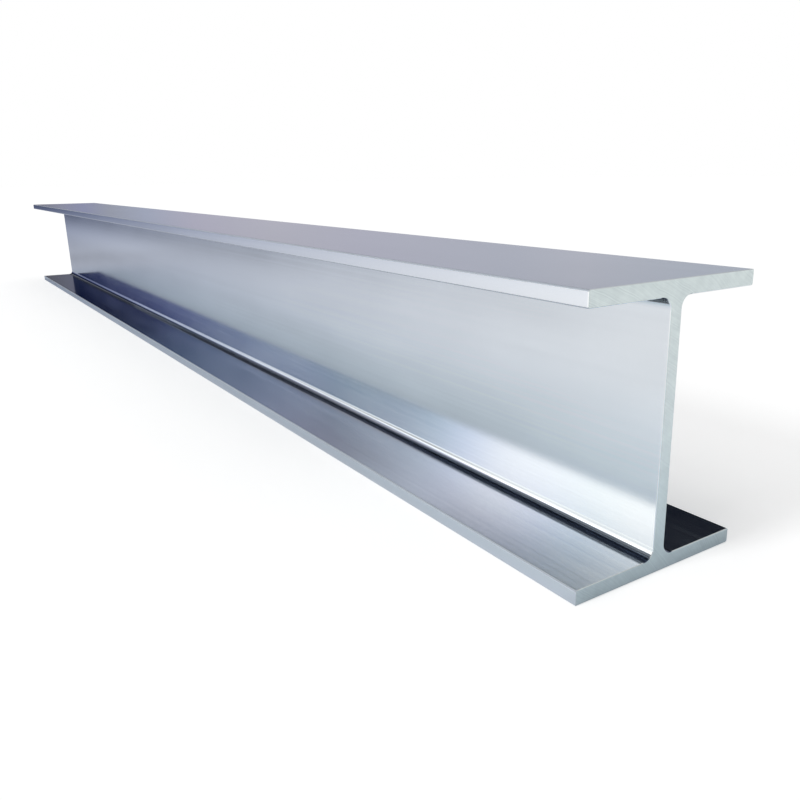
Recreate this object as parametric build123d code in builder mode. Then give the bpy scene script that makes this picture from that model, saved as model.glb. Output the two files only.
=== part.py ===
# A hot-rolled steel beam of I section: two wide parallel flanges joined by one upright web.
# It lies on its bottom flange, with its length along X, its width along Y and +Z up.
# The origin is on the floor, under the middle of the beam. All lengths are in millimetres.

import os

from build123d import *

# The rolled section, with the sizes that a section table lists
depth = 390.0
flange_width = 300.0
flange_thickness = 21.5
web_thickness = 21.0
root_radius = 16.0

# The small rounding that the rolls leave on every corner of a flange toe
toe_radius = 2.5

# The bar as sawn from stock, and the arris ground off the saw's sharp edge at both ends
length = 4000.0
end_arris = 0.8

# The section is drawn about its own middle, on the plane of the beam's left-hand sawn end.
# In that plane the sketch's X runs along the beam's width and its Y runs up the web.
sawn_end = Plane(origin=(-length / 2, 0, depth / 2), x_dir=(0, 1, 0), z_dir=(1, 0, 0))
flange_middle = (depth - flange_thickness) / 2


def distance_from_web(corner):
    return abs(corner.X)


with BuildPart() as i_beam:
    with BuildSketch(sawn_end) as section:
        # The web runs on through both flanges, as the bar is rolled in one piece.
        Rectangle(web_thickness, depth)
        with Locations((0, flange_middle), (0, -flange_middle)):
            Rectangle(flange_width, flange_thickness)
        # The corners furthest out are those of the toes, and the nearest are the roots of the web.
        fillet(section.vertices().group_by(distance_from_web)[-1], radius=toe_radius)
        fillet(section.vertices().group_by(distance_from_web)[0], radius=root_radius)
    extrude(amount=length)

    # Only the two sawn ends have faces square to the length, so this takes every edge round them.
    chamfer(i_beam.faces().filter_by(Axis.X).edges(), length=end_arris)

i_beam.part.label = "i_beam"

os.makedirs("parts", exist_ok=True)
export_step(i_beam.part, "parts/i_beam.step")
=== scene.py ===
# %% [markdown]
# # A rolled steel beam on a white floor
#
# The object is one bar of structural steel: two wide flanges and a web, rolled in one piece and sawn
# square at both ends. There is nothing to assemble, so the whole lesson is about one clean form, the
# finish of bright steel, and the surroundings that such steel mirrors.
#
# The imported beam comes first. It fixes the size and the place of everything that follows.
# The beam lies along X. Its near end is the one at +X, its front is the side towards -Y, and the
# floor is at zero.

# %% Load the imported beam and measure it
import math

import bmesh
import bpy
from mathutils import Matrix, Vector


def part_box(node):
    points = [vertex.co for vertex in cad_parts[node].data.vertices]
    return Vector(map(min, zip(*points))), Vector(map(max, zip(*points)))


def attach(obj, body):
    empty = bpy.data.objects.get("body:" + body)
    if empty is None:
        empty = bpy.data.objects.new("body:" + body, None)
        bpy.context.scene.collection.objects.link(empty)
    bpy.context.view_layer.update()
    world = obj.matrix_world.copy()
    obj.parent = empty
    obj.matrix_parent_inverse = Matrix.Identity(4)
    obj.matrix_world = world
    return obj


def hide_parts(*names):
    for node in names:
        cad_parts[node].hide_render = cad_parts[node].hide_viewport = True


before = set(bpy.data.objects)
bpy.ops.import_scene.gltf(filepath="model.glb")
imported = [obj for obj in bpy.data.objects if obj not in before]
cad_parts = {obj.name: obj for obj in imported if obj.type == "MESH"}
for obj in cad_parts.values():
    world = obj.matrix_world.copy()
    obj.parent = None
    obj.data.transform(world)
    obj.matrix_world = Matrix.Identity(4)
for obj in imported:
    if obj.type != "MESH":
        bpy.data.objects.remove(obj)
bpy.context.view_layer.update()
lowest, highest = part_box("i_beam")
length, flange_width, depth = highest - lowest
print(f"beam {length:.3f} m long, {flange_width:.3f} m wide, {depth:.3f} m deep")

# %% [markdown]
# ## The camera
#
# The photograph looks along the beam from just beyond its near end, from the front and a little above
# the top flange. The near end fills a third of the picture and the far end is tiny, so the lens is a
# moderately wide one, held close. Three things fix such a view: where the camera stands, where it
# points, and how wide it sees. They were found by laying the edges of the beam over the picture.
#
# The vanishing point of a cropped picture isn't in its middle. A small sideways shift of the lens
# puts it right, where turning the camera would bend the upright lines.

# %% Stand the camera at the photograph's viewpoint
camera_place = Vector((2.6006, -0.7611, 0.5122))
camera_heading = math.radians(55.791)
camera_tilt = math.radians(-16.254)
camera_roll = math.radians(-0.754)
sensor_width = 36.0
focal_length = 34.75
sideways_shift = -0.045
nearest_seen = 0.01
furthest_seen = 200.0

portrait_lens = bpy.data.cameras.new("portrait_lens")
portrait_lens.sensor_width = sensor_width
portrait_lens.lens = focal_length
portrait_lens.shift_x = sideways_shift
portrait_lens.clip_start = nearest_seen
portrait_lens.clip_end = furthest_seen

camera = bpy.data.objects.new("camera", portrait_lens)
turned = Matrix.Rotation(camera_heading, 4, "Z") @ Matrix.Rotation(math.pi / 2 + camera_tilt, 4, "X")
levelled = turned @ Matrix.Rotation(camera_roll, 4, "Z")
camera.matrix_world = Matrix.Translation(camera_place) @ levelled
bpy.context.scene.collection.objects.link(camera)
bpy.context.scene.camera = camera
print(f"camera {camera_place.z - highest.z:.3f} m above the top flange, {focal_length} mm lens")

# %% [markdown]
# ## The section as a drawing
#
# A mill's section table gives a beam by five sizes: depth, flange width, flange thickness, web
# thickness and root radius. They make an outline with twelve corners. Four corners are the roots,
# where the web grows out of the flanges in a generous radius, and the other eight are the corners of
# the toes, which the rolls leave only slightly rounded.
#
# The drawing is a loop of twelve points, and each point carries the radius that its corner will get.
# An outline with a number on each corner is easier to read, and to change, than a hundred points.

# %% Draw the twelve corners, each with its radius
flange_thickness = 0.0215
web_thickness = 0.021
root_radius = 0.016
toe_radius = 0.0025
root_steps = 20
toe_steps = 6

web_face = web_thickness / 2
toe_face = flange_width / 2
outer_face = depth / 2
inner_face = outer_face - flange_thickness


def draw_section():
    """The outline of the section, about its own middle, as a loop of corners."""
    upper_right = [
        (web_face, inner_face, root_radius, root_steps),
        (toe_face, inner_face, toe_radius, toe_steps),
        (toe_face, outer_face, toe_radius, toe_steps),
    ]
    upper_left = [(-x, y, radius, steps) for x, y, radius, steps in reversed(upper_right)]
    lower = [(-x, -y, radius, steps) for x, y, radius, steps in upper_right + upper_left]
    corners = upper_right + upper_left + lower
    drawing = bpy.data.meshes.new("section_drawing")
    loop = [(number, (number + 1) % len(corners)) for number in range(len(corners))]
    drawing.from_pydata([(x, y, 0) for x, y, radius, steps in corners], loop, [])
    radii = drawing.attributes.new("corner_radius", "FLOAT", "POINT")
    radii.data.foreach_set("value", [radius for x, y, radius, steps in corners])
    counts = drawing.attributes.new("corner_steps", "INT", "POINT")
    counts.data.foreach_set("value", [steps for x, y, radius, steps in corners])
    return drawing


section_drawing = draw_section()
print(f"section drawn with {len(section_drawing.vertices)} corners")

# %% [markdown]
# ## Two finishes
#
# The photograph shows bright, clean steel with a satin sheen. It mirrors the floor and its own bottom
# flange softly. A rolled face is drawn lengthwise by the rolls, so its grain is thousands of faint
# lines along the bar. The sawn ends are duller, with the shallow arcs that a circular blade leaves.
#
# A single grey would say none of this. Each finish here is a metal whose colour, roughness and bump
# all come from noise in the beam's own coordinates, in metres, so the grain keeps its real scale
# from any side. The lines are noise stretched hard along the bar, which passes over flanges, web and
# root radii alike without a seam.
#
# Both finishes, the floor and the studio are trees of small nodes, and a few helpers keep those
# readable. The first ones add a node and do sums. A range is always written as a pair, its two ends.

# %% Helpers that add nodes and do sums


def add_node(tree, kind, inputs=None, **settings):
    """Adds a node, sets its properties, and fills or links its inputs by name or number."""
    node = tree.nodes.new(kind)
    for name, value in settings.items():
        setattr(node, name, value)
    for name, value in (inputs or {}).items():
        socket = node.inputs[name]
        if isinstance(value, bpy.types.NodeSocket):
            tree.links.new(value, socket)
        else:
            socket.default_value = value
    return node


def new_material(name):
    """An empty node material, and its output node."""
    material = bpy.data.materials.new(name)
    material.use_nodes = True
    material.node_tree.nodes.clear()
    return material, material.node_tree.nodes.new("ShaderNodeOutputMaterial")


def own_place(tree):
    """The point being shaded, in the piece's own coordinates."""
    return add_node(tree, "ShaderNodeTexCoord").outputs["Object"]


def components(tree, vector):
    """The X, Y and Z of a vector, each by its name."""
    return add_node(tree, "ShaderNodeSeparateXYZ", {"Vector": vector}).outputs


def arithmetic(tree, operation, first, second=0.0):
    """One sum on one or two values or sockets."""
    node = add_node(tree, "ShaderNodeMath", {0: first, 1: second}, operation=operation)
    return node.outputs["Value"]


def product(tree, first, *others):
    """Several values multiplied."""
    for other in others:
        first = arithmetic(tree, "MULTIPLY", first, other)
    return first


def remap(tree, value, span, results, smooth=False):
    """The value moved from one range to another, held at both ends."""
    node = add_node(tree, "ShaderNodeMapRange", {
        "Value": value, "From Min": span[0], "From Max": span[1],
        "To Min": results[0], "To Max": results[1]},
        interpolation_type="SMOOTHSTEP" if smooth else "LINEAR")
    return node.outputs["Result"]


def rising(tree, value, span, smooth=False):
    """0 before the range, 1 after it, and climbing within it."""
    return remap(tree, value, span, (0.0, 1.0), smooth)


def falling(tree, value, span, smooth=False):
    """1 before the range, 0 after it, and falling within it."""
    return remap(tree, value, span, (1.0, 0.0), smooth)


print("helpers for sums ready")

# %% [markdown]
# The other helpers make noise and colours. A ramp through tones at known places stands for anything
# that changes along a line, such as a wall from its near end to its far end. A ramp's colours can't
# be brighter than 1, so a ramp of brighter tones holds them as shares of the brightest.

# %% Helpers that make noise and colours
plain_white = (1.0, 1.0, 1.0, 1.0)


def stretched_noise(tree, waves, detail, roughness=0.5):
    """Noise in the piece's own coordinates, with its number of waves per metre along X, Y and Z."""
    scaled = add_node(tree, "ShaderNodeMapping", {"Vector": own_place(tree), "Scale": waves})
    noise = add_node(tree, "ShaderNodeTexNoise", {
        "Vector": scaled.outputs["Vector"], "Scale": 1.0, "Detail": detail, "Roughness": roughness})
    return noise.outputs["Fac"]


def weighed(tree, first, second, share):
    """Two values added, the first with the share given and the second with what is left."""
    return arithmetic(tree, "ADD", product(tree, first, share), product(tree, second, 1.0 - share))


def mix_colours(tree, factor, first, second, **settings):
    """One colour moved towards another by a factor."""
    node = add_node(tree, "ShaderNodeMix", {"Factor": factor}, data_type="RGBA", **settings)
    colours_in = [socket for socket in node.inputs if socket.type == "RGBA"]
    for socket, value in zip(colours_in, (first, second)):
        if isinstance(value, bpy.types.NodeSocket):
            tree.links.new(value, socket)
        else:
            socket.default_value = value
    return next(socket for socket in node.outputs if socket.type == "RGBA")


def times(tree, first, second):
    """Two colours multiplied."""
    return mix_colours(tree, 1.0, first, second, blend_type="MULTIPLY")


def tone_ramp(tree, place, tones, brightest=1.0):
    """A ramp through tones at known places, up to the last place, in shares of the brightest tone."""
    reach = tones[-1][0]
    node = add_node(tree, "ShaderNodeValToRGB", {"Fac": rising(tree, place, (0.0, reach))})
    stops = node.color_ramp.elements
    stops.remove(stops[1])
    for number, (at, tone) in enumerate(tones):
        stop = stops.new(at / reach) if number else stops[0]
        stop.position = at / reach
        stop.color = [share / brightest for share in tone] + [1.0]
    return node.outputs["Color"]


def grey_ramp(tree, place, shares):
    """A ramp through plain shares at known places."""
    return tone_ramp(tree, place, [(at, (share, share, share)) for at, share in shares])


print("helpers for colours ready")

# %% [markdown]
# ### Three zones of the section
#
# Real steel isn't the same all over its section. The toes are rubbed bright, because every sling,
# hook and roller bears on them, and their colour is set brighter still as a painted sheen. The roots
# carry painted shade, a dark line in their colour from end to end. The small round corners of the
# toes are battered matt, and show as a pale edge.
#
# A painted texture could hold the zones, but they follow from the section. So each zone is a mask on
# two distances: out from the middle of the web, and up or down from mid depth.

# %% Mark the rubbed toes with their painted sheen, the painted shade in the roots and the matt corners
# The rubbed toes, whose colour also carries a painted sheen
rubbed_and_sheen_reach = 0.004
rubbed_and_sheen_share = 0.6
# Where the painted shade lies in the roots
# In root radii: out from the web's face, and up or down from the flange's inner face
root_shade_starts = (0.2, 0.5)
root_shade_stops = (1.0, 1.2)
root_shade_climbs = (-0.5, -0.3)
# In metres past that inner face, so that the flange's outer face stays bright
root_shade_skin = (0.001, 0.002)
# In toe radii, in from the faces that meet at the corner
corner_width = (0.5, 1.0)


def section_distances(tree):
    """How far a point is from the middle of the web, and from mid depth."""
    place = components(tree, own_place(tree))
    from_web = arithmetic(tree, "ABSOLUTE", place["Y"])
    from_middle = arithmetic(tree, "ABSOLUTE", arithmetic(tree, "SUBTRACT", place["Z"], depth / 2))
    return from_web, from_middle


def rubbed_and_sheen_zone(tree, from_web):
    """The last few millimetres of a toe, rubbed bright and given a painted sheen."""
    span = (toe_face - rubbed_and_sheen_reach, toe_face)
    return remap(tree, from_web, span, (0.0, rubbed_and_sheen_share), smooth=True)


def root_shade_zone(tree, from_web, from_middle):
    """The foot of each root, where it runs into the flange and gets the painted shade."""
    out = [[web_face + share * root_radius for share in span] for span in (root_shade_starts, root_shade_stops)]
    up = [inner_face + share * root_radius for share in root_shade_climbs]
    skin = [inner_face + deep for deep in root_shade_skin]
    return product(tree, rising(tree, from_web, out[0], smooth=True),
                   falling(tree, from_web, out[1], smooth=True),
                   rising(tree, from_middle, up, smooth=True), falling(tree, from_middle, skin))


def corner_zone(tree, from_web, from_middle):
    """The small round corners of the toes."""
    narrow, wide = [share * toe_radius for share in corner_width]
    from_face = arithmetic(tree, "MINIMUM", arithmetic(tree, "SUBTRACT", outer_face, from_middle),
                           arithmetic(tree, "SUBTRACT", from_middle, inner_face))
    return product(tree, falling(tree, from_face, (narrow, wide), smooth=True),
                   rising(tree, from_web, (toe_face - wide, toe_face - narrow), smooth=True))


print(f"three zones: toes {1000 * rubbed_and_sheen_reach:.0f} mm, roots, and corners {1000 * toe_radius} mm")

# %% [markdown]
# ### Satin steel, as rolled
#
# Three scales of noise make the rolled face. Broad patches, a hand's width across, shift the sheen as
# cooling and handling do. Streaks a few millimetres wide run the length of the bar. The finest lines
# are the roll grain, which bump alone can carry.
#
# The lines also shape the reflection. Steel that is drawn lengthwise mirrors sharply along the lines
# and softly across them, and an anisotropic metal does that without any line being modelled. Its
# tangent is the beam's own length.

# %% Make the satin steel of the rolled faces
rolled_light = (0.80, 0.835, 0.845, 1.0)
rolled_dark = (0.70, 0.735, 0.75, 1.0)
# Rubbed toes, with a painted sheen on top of the wear
rubbed_bright_and_sheen = (0.90, 0.92, 0.93, 1.0)
# Painted shade: a dark colour in the roots, from end to end
root_painted_shade = (0.07, 0.085, 0.13, 1.0)
corner_grey = (0.60, 0.66, 0.74, 1.0)
corner_roughness = 0.55
corner_metal = 0.15

# Waves per metre along X, Y and Z, and the range that holds nearly all of a noise
patch_waves = (2.5, 9.0, 9.0)
streak_waves = (0.6, 220.0, 220.0)
grain_waves = (6.0, 1400.0, 1400.0)
noise_span = (0.35, 0.65)

patch_share = 0.6
patch_roughness = (0.085, 0.115)
streak_roughness = (-0.01, 0.015)
rubbed_smoothing = 0.04
streak_relief_share = 0.7
rolled_relief = {"Strength": 0.08, "Distance": 0.0002}
drawn_lengthwise = {"Anisotropic": 0.9, "Anisotropic Rotation": 0.25}


def satin_rolled_steel():
    """Bright drawn steel, with its three zones."""
    material, output = new_material("satin_rolled_steel")
    tree = material.node_tree
    patches = stretched_noise(tree, patch_waves, detail=3.0)
    streaks = stretched_noise(tree, streak_waves, detail=4.0, roughness=0.6)
    grain = stretched_noise(tree, grain_waves, detail=2.0, roughness=0.6)
    from_web, from_middle = section_distances(tree)
    # The mask of the rubbed toes and their painted sheen
    rubbed_and_sheen = rubbed_and_sheen_zone(tree, from_web)
    # The mask of the painted shade in the roots
    root = root_shade_zone(tree, from_web, from_middle)
    corner = corner_zone(tree, from_web, from_middle)

    tone = rising(tree, weighed(tree, patches, streaks, patch_share), noise_span)
    colour = mix_colours(tree, tone, rolled_dark, rolled_light)
    # Each zone's colour: rubbed toes with a painted sheen, painted shade in the roots, matt corners
    for zone, finish in ((rubbed_and_sheen, rubbed_bright_and_sheen), (root, root_painted_shade), (corner, corner_grey)):
        colour = mix_colours(tree, zone, colour, finish)
    metal = remap(tree, corner, (0.0, 1.0), (1.0, corner_metal))

    roughness = arithmetic(tree, "ADD", remap(tree, patches, noise_span, patch_roughness),
                           remap(tree, streaks, noise_span, streak_roughness))
    roughness = arithmetic(tree, "SUBTRACT", roughness, product(tree, rubbed_and_sheen, rubbed_smoothing))
    roughness = arithmetic(tree, "MAXIMUM", roughness, product(tree, corner, corner_roughness))

    relief = weighed(tree, streaks, grain, streak_relief_share)
    bump = add_node(tree, "ShaderNodeBump", {"Height": relief, **rolled_relief})
    lengthwise = add_node(tree, "ShaderNodeVectorTransform", {"Vector": (1.0, 0.0, 0.0)},
                          vector_type="VECTOR", convert_from="OBJECT", convert_to="WORLD")
    steel = add_node(tree, "ShaderNodeBsdfPrincipled", {
        "Base Color": colour, "Roughness": roughness, "Metallic": metal,
        "Tangent": lengthwise.outputs["Vector"], "Normal": bump.outputs["Normal"], **drawn_lengthwise})
    tree.links.new(steel.outputs["BSDF"], output.inputs["Surface"])
    return material


rolled_finish = satin_rolled_steel()
print("rolled finish:", rolled_finish.name)

# %% [markdown]
# ### Sawn steel, on the ends
#
# A circular saw leaves arcs that all share one centre, well outside the section. Rings around a point
# far below and beside the beam give the same arcs, about a millimetre and a half apart. Noise is read
# along the distance from that point, so no two arcs are alike, and a second noise bends them, as they
# bend when the feed varies. A fine mottle keeps the face between the arcs from looking polished.

# %% Make the sawn finish of the two ends
sawn_light = (0.645, 0.715, 0.71, 1.0)
sawn_dark = (0.55, 0.61, 0.615, 1.0)
blade_centre = (0.0, -0.42, -0.34)
rings_per_metre = 700.0
rings_of_wander = 10.0
wander_waves = (0.0, 14.0, 14.0)
mottle_waves = (60.0, 60.0, 60.0)
ring_share = 0.6
sawn_roughness = (0.46, 0.34)
sawn_relief = {"Strength": 0.35, "Distance": 0.0003}


def sawn_steel():
    """Duller steel, with the saw's arcs."""
    material, output = new_material("sawn_steel")
    tree = material.node_tree
    flat = add_node(tree, "ShaderNodeMapping", {"Vector": own_place(tree), "Scale": (0.0, 1.0, 1.0)})
    reach = add_node(tree, "ShaderNodeVectorMath", {0: flat.outputs["Vector"], 1: blade_centre},
                     operation="DISTANCE").outputs["Value"]
    wander = stretched_noise(tree, wander_waves, detail=2.0)
    rings = arithmetic(tree, "ADD", product(tree, reach, rings_per_metre),
                       product(tree, wander, rings_of_wander))
    marks = add_node(tree, "ShaderNodeTexNoise", {"W": rings, "Scale": 1.0, "Detail": 4.0},
                     noise_dimensions="1D").outputs["Fac"]
    mottle = stretched_noise(tree, mottle_waves, detail=3.0, roughness=0.6)

    tone = weighed(tree, marks, mottle, ring_share)
    colour = mix_colours(tree, rising(tree, tone, noise_span), sawn_dark, sawn_light)
    roughness = remap(tree, tone, noise_span, sawn_roughness)
    bump = add_node(tree, "ShaderNodeBump", {"Height": marks, **sawn_relief})
    steel = add_node(tree, "ShaderNodeBsdfPrincipled", {
        "Base Color": colour, "Roughness": roughness, "Metallic": 1.0,
        "Normal": bump.outputs["Normal"]})
    tree.links.new(steel.outputs["BSDF"], output.inputs["Surface"])
    return material


sawn_finish = sawn_steel()
print("sawn finish:", sawn_finish.name)

# %% [markdown]
# ## Rolling the bar
#
# A rolled bar is one section carried along a straight line, which is a rule, and rules are what
# Geometry Nodes are for. The tree reads the drawing's twelve corners, rounds each by its own radius,
# sweeps the outline along the length, and paints the end caps with the sawn finish.
#
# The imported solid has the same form, but its round corners are cut into a few flat strips. The root
# radius is where this beam shows its brightest line and its darkest one side by side, so it gets
# twenty strips here, and the toes get six.

# %% Build the tree that sweeps the section along the bar
bays = 40
end_squareness = 0.9


def add_input(tree, name, kind, value):
    """A named input of the tree, with its usual value."""
    socket = tree.interface.new_socket(name=name, in_out="INPUT", socket_type=kind)
    if value is not None:
        socket.default_value = value
    return socket.identifier


def corner_note(tree, name, kind):
    """A number that the drawing keeps on each corner."""
    return add_node(tree, "GeometryNodeInputNamedAttribute", {"Name": name},
                    data_type=kind).outputs["Attribute"]


def rolling_tree():
    """The tree, and the identifier of each named input."""
    tree = bpy.data.node_groups.new("roll_the_section", "GeometryNodeTree")
    tree.is_modifier = True
    tree.interface.new_socket(name="Drawing", in_out="INPUT", socket_type="NodeSocketGeometry")
    sockets = {
        "Start": add_input(tree, "Start", "NodeSocketVector", (0.0, 0.0, 0.0)),
        "End": add_input(tree, "End", "NodeSocketVector", (1.0, 0.0, 0.0)),
        "Bays": add_input(tree, "Bays", "NodeSocketInt", bays),
        "Rolled finish": add_input(tree, "Rolled finish", "NodeSocketMaterial", None),
        "Sawn finish": add_input(tree, "Sawn finish", "NodeSocketMaterial", None),
    }
    tree.interface.new_socket(name="Beam", in_out="OUTPUT", socket_type="NodeSocketGeometry")
    given = tree.nodes.new("NodeGroupInput").outputs

    outline = add_node(tree, "GeometryNodeMeshToCurve", {"Mesh": given["Drawing"]})
    rounded = add_node(tree, "GeometryNodeFilletCurve", {
        "Curve": outline.outputs["Curve"], "Count": corner_note(tree, "corner_steps", "INT"),
        "Radius": corner_note(tree, "corner_radius", "FLOAT")}, mode="POLY")
    line = add_node(tree, "GeometryNodeCurvePrimitiveLine", {
        "Start": given["Start"], "End": given["End"]})
    path = add_node(tree, "GeometryNodeResampleCurve", {
        "Curve": line.outputs["Curve"], "Count": given["Bays"]})
    swept = add_node(tree, "GeometryNodeCurveToMesh", {
        "Curve": path.outputs["Curve"], "Profile Curve": rounded.outputs["Curve"], "Fill Caps": True})

    facing = components(tree, add_node(tree, "GeometryNodeInputNormal").outputs["Normal"])
    is_end = add_node(tree, "FunctionNodeCompare", {
        "A": arithmetic(tree, "ABSOLUTE", facing["X"]), "B": end_squareness},
        data_type="FLOAT", operation="GREATER_THAN").outputs["Result"]
    bar = add_node(tree, "GeometryNodeRealizeInstances", {"Geometry": swept.outputs["Mesh"]})
    rolled_bar = add_node(tree, "GeometryNodeSetMaterial", {
        "Geometry": bar.outputs["Geometry"], "Material": given["Rolled finish"]})
    sawn_bar = add_node(tree, "GeometryNodeSetMaterial", {
        "Geometry": rolled_bar.outputs["Geometry"], "Selection": is_end,
        "Material": given["Sawn finish"]})
    add_node(tree, "NodeGroupOutput", {"Beam": sawn_bar.outputs["Geometry"]})
    return tree, sockets


rolling, rolling_inputs = rolling_tree()
print(f"rolling tree has {len(rolling.nodes)} nodes")

# %% [markdown]
# The sweep gives a bar with knife-sharp ends. A saw leaves a burr there, which a grinder takes off as
# a narrow flat all round, so a bevel follows. Only the edges round the ends are sharp enough for it:
# a toe's whole quarter turn is spread over six strips.
#
# A modifier's inputs go by their identifiers, and are set before the beam is first worked out. The
# result is then kept as a plain mesh, with nothing left to recompute.

# %% Roll the beam and ease its sawn edges
end_arris = 0.0008
bevel_angle = math.radians(60)


def plain_mesh(piece, name):
    """The piece as its modifiers leave it, as a mesh of its own, with the modifiers gone."""
    finished = piece.evaluated_get(bpy.context.evaluated_depsgraph_get())
    mesh = bpy.data.meshes.new_from_object(finished)
    mesh.name = name
    piece.modifiers.clear()
    piece.data = mesh
    return piece


def roll_beam():
    """The bar as swept, with its sawn edges eased, as one plain mesh."""
    piece = bpy.data.objects.new("rolled_beam", section_drawing)
    bpy.context.scene.collection.objects.link(piece)
    sweep = piece.modifiers.new("roll", "NODES")
    sweep.node_group = rolling
    middle = (lowest + highest) / 2
    sweep[rolling_inputs["Start"]] = (lowest.x, middle.y, middle.z)
    sweep[rolling_inputs["End"]] = (highest.x, middle.y, middle.z)
    sweep[rolling_inputs["Bays"]] = bays + 1
    sweep[rolling_inputs["Rolled finish"]] = rolled_finish
    sweep[rolling_inputs["Sawn finish"]] = sawn_finish
    arris = piece.modifiers.new("end_arris", "BEVEL")
    arris.width = end_arris
    arris.segments = 1
    arris.limit_method = "ANGLE"
    arris.angle_limit = bevel_angle
    return plain_mesh(piece, "rolled_beam")


beam = roll_beam()
print(f"beam rolled with {len(beam.data.polygons)} faces")

# %% [markdown]
# Two facts about shading matter on a clean bar. A wide flat face beside a radius looks bent unless
# its own area decides the normals at their shared edge, and a sawn edge must stay crisp. The weighted
# normals do the first and the sharp edges do the second.
#
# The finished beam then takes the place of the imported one, on the same body and with its finish.

# %% Fix the shading and put the beam in its place
crisp_angle = math.radians(25)


def shade(piece):
    """Smooth faces, with crisp edges where two faces meet at more than the crisp angle."""
    piece.data.polygons.foreach_set("use_smooth", [True] * len(piece.data.polygons))
    form = bmesh.new()
    form.from_mesh(piece.data)
    for edge in form.edges:
        edge.smooth = edge.calc_face_angle(0.0) < crisp_angle
    form.to_mesh(piece.data)
    form.free()
    weighted = piece.modifiers.new("flat_faces_win", "WEIGHTED_NORMAL")
    weighted.keep_sharp = True
    return plain_mesh(piece, piece.name)


beam = shade(beam)
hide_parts("i_beam")
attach(beam, "root")
print(f"beam box {[round(size, 4) for size in beam.dimensions]}")

# %% [markdown]
# ## The white floor
#
# The floor shows no horizon. It runs out into plain white, and keeps only a soft, pale shadow behind
# the beam. A plain diffuse floor would turn grey with distance, so the camera gets a little light
# added to it, which takes the open floor to white. Less is added close behind the beam, where the
# shadow lies, and so the shadow stays visible.
#
# Bright steel mirrors that floor, and there it isn't white all over. Near the camera it is, but the
# web's far end mirrors floor that the lamps hardly reach, and shows a blue-grey. So the floor that
# the steel sees fades with distance, by an exponential in each colour, and blue fades last. Three
# ramps then shade it: close to the beam, round the near end, and out to the sides of the far half.

# %% Note how the floor looks in the steel
floor_tone = 0.85
# Painted light: the floor that the steel sees is made brighter than its lamps make it
mirrored_gain = 2.77
# A painted falloff of light with distance, in each colour
fade_start = 1.6
fade_lengths = (6.7, 7.2, 9.4)
far_half = (-3.3, -1.0)
# Painted shade on the floor that the steel sees, in the three ramps below
# By metres away from the beam's sides and ends
mirrored_close = [
    (0.0, (0.42, 0.45, 0.50)),
    (0.05, (0.48, 0.525, 0.57)),
    (0.1, (0.535, 0.585, 0.63)),
    (0.34, (0.685, 0.715, 0.76)),
    (0.6, (0.79, 0.80, 0.83)),
    (1.2, (0.81, 0.81, 0.82)),
    (1.8, (1.0, 1.0, 1.0)),
]
# By X, along the beam
mirrored_end = [
    (1.4, 0.84),
    (1.85, 0.95),
    (1.97, 0.95),
    (2.01, 0.84),
    (2.06, 1.0),
    (2.15, 1.0),
    (2.4, 0.90),
    (3.0, 0.83),
]
# By metres out from the middle of the web, beside the far half
mirrored_aside = [
    (0.15, 0.78),
    (0.35, 0.80),
    (0.5, 0.84),
    (0.68, 1.0),
    (0.85, 1.0),
    (1.2, 0.74),
    (1.36, 0.64),
    (1.5, 0.64),
    (1.66, 1.0),
    (3.0, 1.0),
]


def distance_from_beam(tree):
    """How far a point of the floor is from the beam's footprint."""
    flat = add_node(tree, "ShaderNodeMapping", {"Vector": own_place(tree), "Scale": (1.0, 1.0, 0.0)})
    half_sizes = (length / 2, flange_width / 2, 0.0)
    outside = add_node(tree, "ShaderNodeVectorMath", {0: flat.outputs["Vector"]}, operation="ABSOLUTE")
    for operation, amount in (("SUBTRACT", half_sizes), ("MAXIMUM", (0.0, 0.0, 0.0))):
        outside = add_node(tree, "ShaderNodeVectorMath", {
            0: outside.outputs["Vector"], 1: amount}, operation=operation)
    return add_node(tree, "ShaderNodeVectorMath", {0: outside.outputs["Vector"]},
                    operation="LENGTH").outputs["Value"]


def mirrored_floor(tree, place, distance):
    """The floor's colour as the steel sees it, with painted light and painted shade."""
    away = arithmetic(tree, "MAXIMUM", arithmetic(tree, "SUBTRACT", fade_start, place["X"]), 0.0)
    channels = {}
    for channel, fade in zip(("Red", "Green", "Blue"), fade_lengths):
        left = arithmetic(tree, "EXPONENT", arithmetic(tree, "DIVIDE", away, -fade))
        channels[channel] = product(tree, left, mirrored_gain * floor_tone)
    faded = add_node(tree, "ShaderNodeCombineColor", channels).outputs["Color"]
    faded = times(tree, faded, tone_ramp(tree, distance, mirrored_close))
    faded = times(tree, faded, grey_ramp(tree, place["X"], mirrored_end))
    aside = arithmetic(tree, "ABSOLUTE", place["Y"])
    return times(tree, faded, mix_colours(tree, falling(tree, place["X"], far_half), plain_white,
                                          grey_ramp(tree, aside, mirrored_aside)))


print(f"mirrored floor shaded by {len(mirrored_close + mirrored_end + mirrored_aside)} tones")

# %% [markdown]
# The floor that the camera sees needs only the shadow beside the beam. It is deepest behind the web.
# In front it is fainter, and it ends before the near end, which stands in the light.

# %% Lay the floor
floor_gap = 0.0002
floor_reach = 60.0
white_lift = 0.52
behind_web = (0.1, 0.16)
short_of_end = (1.92, 2.06)
front_shadow = 0.38
front_shadow_ends = (1.2, 1.6)
# By metres away from the beam's sides and ends
seen_close = [
    (0.0, 0.64),
    (0.07, 0.74),
    (0.15, 0.87),
    (0.27, 0.96),
    (0.4, 1.0),
]


def lifted_floor(tree, place, distance):
    """The colour of the light that is added for the camera."""
    behind = product(tree, rising(tree, place["Y"], behind_web), falling(tree, place["X"], short_of_end))
    before = remap(tree, place["X"], front_shadow_ends, (front_shadow, 0.0))
    shaded = arithmetic(tree, "MAXIMUM", behind, before)
    return mix_colours(tree, shaded, plain_white, grey_ramp(tree, distance, seen_close))


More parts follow.
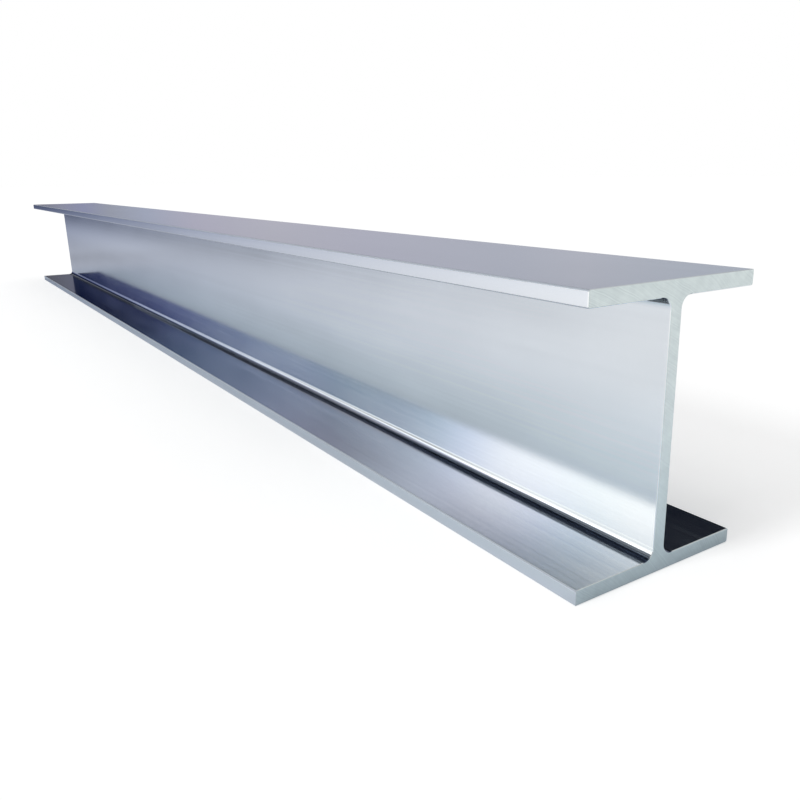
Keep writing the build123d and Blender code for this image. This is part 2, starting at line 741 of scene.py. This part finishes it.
def floor_paint():
    """White for the camera, and a fading floor for the steel."""
    material, output = new_material("white_floor")
    tree = material.node_tree
    path = add_node(tree, "ShaderNodeLightPath").outputs
    place = components(tree, own_place(tree))
    distance = distance_from_beam(tree)
    pale = (floor_tone, floor_tone, floor_tone, 1.0)
    colour = mix_colours(tree, path["Is Glossy Ray"], pale, mirrored_floor(tree, place, distance))
    matt = add_node(tree, "ShaderNodeBsdfDiffuse", {"Color": colour})
    lift = add_node(tree, "ShaderNodeEmission", {
        "Color": lifted_floor(tree, place, distance),
        "Strength": product(tree, path["Is Camera Ray"], white_lift)})
    both = add_node(tree, "ShaderNodeAddShader", {
        0: matt.outputs["BSDF"], 1: lift.outputs["Emission"]})
    tree.links.new(both.outputs["Shader"], output.inputs["Surface"])
    return material


def lay_floor():
    """One large face, a hair below the beam."""
    corners = [(-1, -1), (1, -1), (1, 1), (-1, 1)]
    mesh = bpy.data.meshes.new("floor")
    mesh.from_pydata([(x * floor_reach, y * floor_reach, -floor_gap) for x, y in corners],
                     [], [(0, 1, 2, 3)])
    mesh.materials.append(floor_paint())
    floor = bpy.data.objects.new("floor", mesh)
    bpy.context.scene.collection.objects.link(floor)
    return floor


floor = lay_floor()
print(f"floor {2 * floor_reach:.0f} m square")

# %% [markdown]
# ## The studio that the steel mirrors
#
# Satin metal has hardly a colour of its own. What the eye takes for its tone is the room, mirrored
# and blurred, so the room has to be right before the steel can be, and the picture tells what it was.
# The world can hold that room without a single extra object, because a world is painted by direction.
#
# Two slopes say where a direction meets a wall beside the beam. One is how far it runs along the
# beam, towards the far end, for each metre out to the side. The other is how far it climbs for each
# metre out. A level line on the wall keeps one climbing slope, and the steel mirrors it as a straight
# line along the bar, so the long bands of the picture can be painted one by one.
#
# The front wall comes first. The web's foot is bright at the near end, so a large soft light stood
# there, and both it and the bottom flange turn navy further off, so the wall beyond the light was
# dark. The wall has three bands by height. The round roots mirror the low band, as a bright line, the
# web's foot mirrors the middle one, and the bottom flange mirrors the high one.

# %% Note the three bands of the front wall
brightest_wall = 2.5
# Tones by the slope along the beam
low_band = [
    (0.83, (1.35, 1.35, 1.35)),
    (1.1, (1.50, 1.50, 1.50)),
    (1.9, (1.55, 1.55, 1.60)),
    (2.5, (1.15, 1.20, 1.35)),
    (3.9, (0.42, 0.47, 0.75)),
    (5.0, (0.10, 0.13, 0.30)),
    (8.0, (0.01, 0.015, 0.03)),
]
middle_band = [
    (0.83, (2.00, 1.90, 1.85)),
    (0.93, (1.90, 1.85, 1.80)),
    (1.1, (1.75, 1.70, 1.72)),
    (1.2, (1.58, 1.55, 1.62)),
    (1.33, (1.08, 1.15, 1.40)),
    (1.47, (0.66, 0.79, 0.96)),
    (1.6, (0.38, 0.48, 0.64)),
    (1.87, (0.23, 0.35, 0.48)),
    (2.13, (0.28, 0.36, 0.54)),
    (2.8, (0.19, 0.24, 0.42)),
    (3.46, (0.10, 0.125, 0.32)),
    (4.13, (0.07, 0.085, 0.22)),
    (4.8, (0.038, 0.048, 0.15)),
    (5.5, (0.025, 0.035, 0.10)),
    (8.0, (0.01, 0.015, 0.03)),
]
high_band = [
    (0.87, (0.97, 1.08, 1.26)),
    (1.0, (0.86, 1.05, 1.38)),
    (1.13, (1.36, 1.38, 1.80)),
    (1.27, (1.72, 1.65, 1.86)),
    (1.41, (1.43, 1.42, 1.72)),
    (1.55, (1.00, 1.04, 1.20)),
    (1.69, (0.60, 0.59, 0.74)),
    (1.97, (0.44, 0.44, 0.60)),
    (2.25, (0.31, 0.355, 0.52)),
    (2.96, (0.115, 0.165, 0.285)),
    (3.66, (0.02, 0.03, 0.08)),
    (4.36, (0.008, 0.012, 0.035)),
    (5.0, (0.005, 0.01, 0.045)),
    (8.0, (0.0, 0.005, 0.02)),
]
print(f"front wall of {len(low_band)}, {len(middle_band)} and {len(high_band)} tones, low to high")

# %% [markdown]
# Two of the bands change with height as well. The low one is dim at its foot. The high one is brightest
# low down at its near part and higher up at its far part, so it takes two ramps, and the wall moves
# from one to the other. The three bands then run into each other over a short climb.

# %% Paint the front wall
# Shares by the climbing slope, in the low band and at the near and far parts of the high one
low_shares = [
    (0.0, 0.30),
    (0.12, 0.30),
    (0.26, 1.0),
    (0.6, 1.0),
]
high_shares_near = [
    (0.69, 1.0),
    (0.71, 0.84),
    (0.73, 0.58),
    (0.75, 0.32),
    (0.78, 0.12),
    (0.80, 0.08),
    (0.9, 0.08),
    (1.1, 0.22),
    (1.5, 0.24),
    (2.2, 0.06),
    (3.0, 0.02),
]
high_shares_far = [
    (0.69, 0.42),
    (0.71, 0.50),
    (0.73, 0.62),
    (0.75, 0.75),
    (0.78, 0.90),
    (0.80, 1.0),
    (0.85, 1.0),
    (1.0, 0.5),
    (1.5, 0.2),
    (2.2, 0.06),
    (3.0, 0.02),
]
low_to_middle = (0.40, 0.49)
middle_to_high = (0.62, 0.68)
low_shares_from = (0.9, 1.25)
near_to_far = (1.0, 2.1)
high_band_foot = 0.69
least_climb = 0.3


def front_wall(tree, along, climb):
    """The wall in front of the beam, in three bands by height."""
    dimming = mix_colours(tree, rising(tree, along, low_shares_from), plain_white,
                          grey_ramp(tree, climb, low_shares))
    low = times(tree, tone_ramp(tree, along, low_band, brightest_wall), dimming)
    middle = tone_ramp(tree, along, middle_band, brightest_wall)
    # Straight across the bottom flange the tone hardly changes, and there the two slopes keep one
    # ratio. So the high band is read by that ratio, scaled to meet the middle band at its foot.
    steep = arithmetic(tree, "DIVIDE", high_band_foot, arithmetic(tree, "MAXIMUM", climb, least_climb))
    ratio = product(tree, along, steep)
    high_shares = mix_colours(tree, rising(tree, ratio, near_to_far),
                              grey_ramp(tree, climb, high_shares_near),
                              grey_ramp(tree, climb, high_shares_far))
    high = times(tree, tone_ramp(tree, ratio, high_band, brightest_wall), high_shares)
    lower = mix_colours(tree, rising(tree, climb, low_to_middle, smooth=True), low, middle)
    return mix_colours(tree, rising(tree, climb, middle_to_high, smooth=True), lower, high)


print(f"front wall joined at climbs of {low_to_middle} and {middle_to_high}")

# %% [markdown]
# The top flange is an even lilac grey, a little darker towards its far end, so there was a grey wall
# behind. The part of the bottom flange behind the web is nearly black. It mirrors a higher part of
# that wall, so a dark screen stood there, above a low strip of grey. The screen is kept as narrow as
# the picture allows, so that the top flange stays bright when it is seen from other sides.

# %% Paint the back wall
# Tones by the slope along the beam
back_along = [
    (0.75, (0.47, 0.50, 0.575)),
    (1.0, (0.505, 0.515, 0.59)),
    (1.2, (0.465, 0.48, 0.56)),
    (1.8, (0.465, 0.465, 0.555)),
    (2.4, (0.475, 0.47, 0.545)),
    (3.2, (0.44, 0.43, 0.53)),
    (3.9, (0.37, 0.40, 0.51)),
    (4.7, (0.325, 0.345, 0.42)),
    (5.4, (0.275, 0.29, 0.43)),
    (6.2, (0.275, 0.285, 0.38)),
    (8.0, (0.17, 0.17, 0.20)),
]
# Shares of them by the direction's own height, on the screen, and by the climbing slope, all over
screen_height = [
    (0.0, (1.0, 1.0, 1.0)),
    (0.17, (1.0, 1.0, 1.0)),
    (0.24, (0.5, 0.5, 0.5)),
    (0.31, (0.05, 0.055, 0.07)),
    (0.4, (0.02, 0.028, 0.05)),
]
back_climb = [
    (0.0, 1.0),
    (0.25, 1.0),
    (0.5, 0.50),
    (2.0, 0.5),
]
screen_starts = (0.45, 0.65)
screen_stops = (1.1, 1.4)


def back_wall(tree, along, climb, height):
    """The wall behind the beam, with a dark screen on its near part."""
    screened = product(tree, rising(tree, along, screen_starts), falling(tree, along, screen_stops))
    screen = mix_colours(tree, screened, plain_white, tone_ramp(tree, height, screen_height))
    grey = times(tree, tone_ramp(tree, along, back_along, brightest_wall), screen)
    return times(tree, grey, grey_ramp(tree, climb, back_climb))


print(f"back wall of {len(back_along)} tones")

# %% [markdown]
# A pale ceiling, a grey wall beyond the far end and a pale one at the near end close the room. The
# top flange mirrors the ceiling when it is seen from above, and the sawn end mirrors the near wall.
#
# Only rays that come off the steel see the painted room. The camera sees plain white, and everything
# else is lit by an even light at less than half of that, so that the steel's tones and the strength
# of the shadow can be set apart.

# %% Close the room and light it
near_wall = (0.68, 0.69, 0.69)
end_wall = (0.32, 0.35, 0.42)
ceiling = (0.56, 0.58, 0.60)
ambient_level = 0.45
narrowest_side = 0.001
front_to_back = (-0.05, 0.05)
far_to_near = (-0.25, 0.35)
end_wall_from = (16.0, 21.0)
ceiling_from = (0.73, 0.87)
lower_ceiling_behind = 0.24


def dimmed(colour):
    """A plain colour in shares of the brightest wall."""
    return tuple(share / brightest_wall for share in colour) + (1.0,)


def painted_room(tree):
    """The room's colour by direction, in shares of the brightest wall."""
    towards = components(tree, add_node(tree, "ShaderNodeTexCoord").outputs["Generated"])
    sideways = arithmetic(tree, "MAXIMUM", arithmetic(tree, "ABSOLUTE", towards["Y"]), narrowest_side)
    along = arithmetic(tree, "DIVIDE", product(tree, towards["X"], -1.0), sideways)
    climb = arithmetic(tree, "DIVIDE", towards["Z"], sideways)
    behind = rising(tree, towards["Y"], front_to_back, smooth=True)

    room = mix_colours(tree, behind, front_wall(tree, along, climb),
                       back_wall(tree, along, climb, towards["Z"]))
    raised = arithmetic(tree, "ADD", towards["Z"], product(tree, behind, lower_ceiling_behind))
    for amount, colour in (
            (rising(tree, raised, ceiling_from, smooth=True), ceiling),
            (rising(tree, along, end_wall_from), end_wall),
            (rising(tree, towards["X"], far_to_near, smooth=True), near_wall)):
        room = mix_colours(tree, amount, room, dimmed(colour))
    return room


def light_studio():
    """The world: painted for the steel, and plain white for everything else."""
    world = bpy.data.worlds.new("studio")
    world.use_nodes = True
    tree = world.node_tree
    tree.nodes.clear()
    path = add_node(tree, "ShaderNodeLightPath").outputs
    level = remap(tree, path["Is Camera Ray"], (0.0, 1.0), (ambient_level, 1.0))
    white = add_node(tree, "ShaderNodeBackground", {"Color": plain_white, "Strength": level})
    mirrored = add_node(tree, "ShaderNodeBackground", {
        "Color": painted_room(tree), "Strength": brightest_wall})
    chosen = add_node(tree, "ShaderNodeMixShader", {
        "Fac": path["Is Glossy Ray"],
        1: white.outputs["Background"], 2: mirrored.outputs["Background"]})
    add_node(tree, "ShaderNodeOutputWorld", {"Surface": chosen.outputs["Shader"]})
    world.cycles.sampling_method = "NONE"
    bpy.context.scene.world = world
    return world


studio = light_studio()
print(f"studio of {len(studio.node_tree.nodes)} nodes")

# %% [markdown]
# One lamp makes the shadow. It stands in front of the beam, square to the web and about a third of
# the way up, so the shadow falls behind. A sun with a very wide disc gives the same soft edge
# everywhere and doesn't fade with distance, so the floor stays even. The steel doesn't mirror it,
# because the painted light on the front wall stands in its place.

# %% Hang the soft key light
key_strength = 0.88
key_softness = math.radians(15)
key_height = math.radians(33)
key_heading = math.radians(-95)


def hang_key():
    """One wide sun, which the steel doesn't mirror."""
    light = bpy.data.lights.new("key", "SUN")
    light.energy = key_strength
    light.angle = key_softness
    lamp = bpy.data.objects.new("key", light)
    towards = Vector((math.cos(key_heading) * math.cos(key_height),
                      math.sin(key_heading) * math.cos(key_height), math.sin(key_height)))
    lamp.matrix_world = towards.to_track_quat("Z", "Y").to_matrix().to_4x4()
    lamp.visible_glossy = False
    bpy.context.scene.collection.objects.link(lamp)
    return lamp


key = hang_key()
print(f"key light {math.degrees(key_height):.0f} degrees up")

# %% [markdown]
# ## Last settings
#
# The Standard view shows colours as they were written.

# %% Set the view
bpy.context.scene.view_settings.view_transform = "Standard"
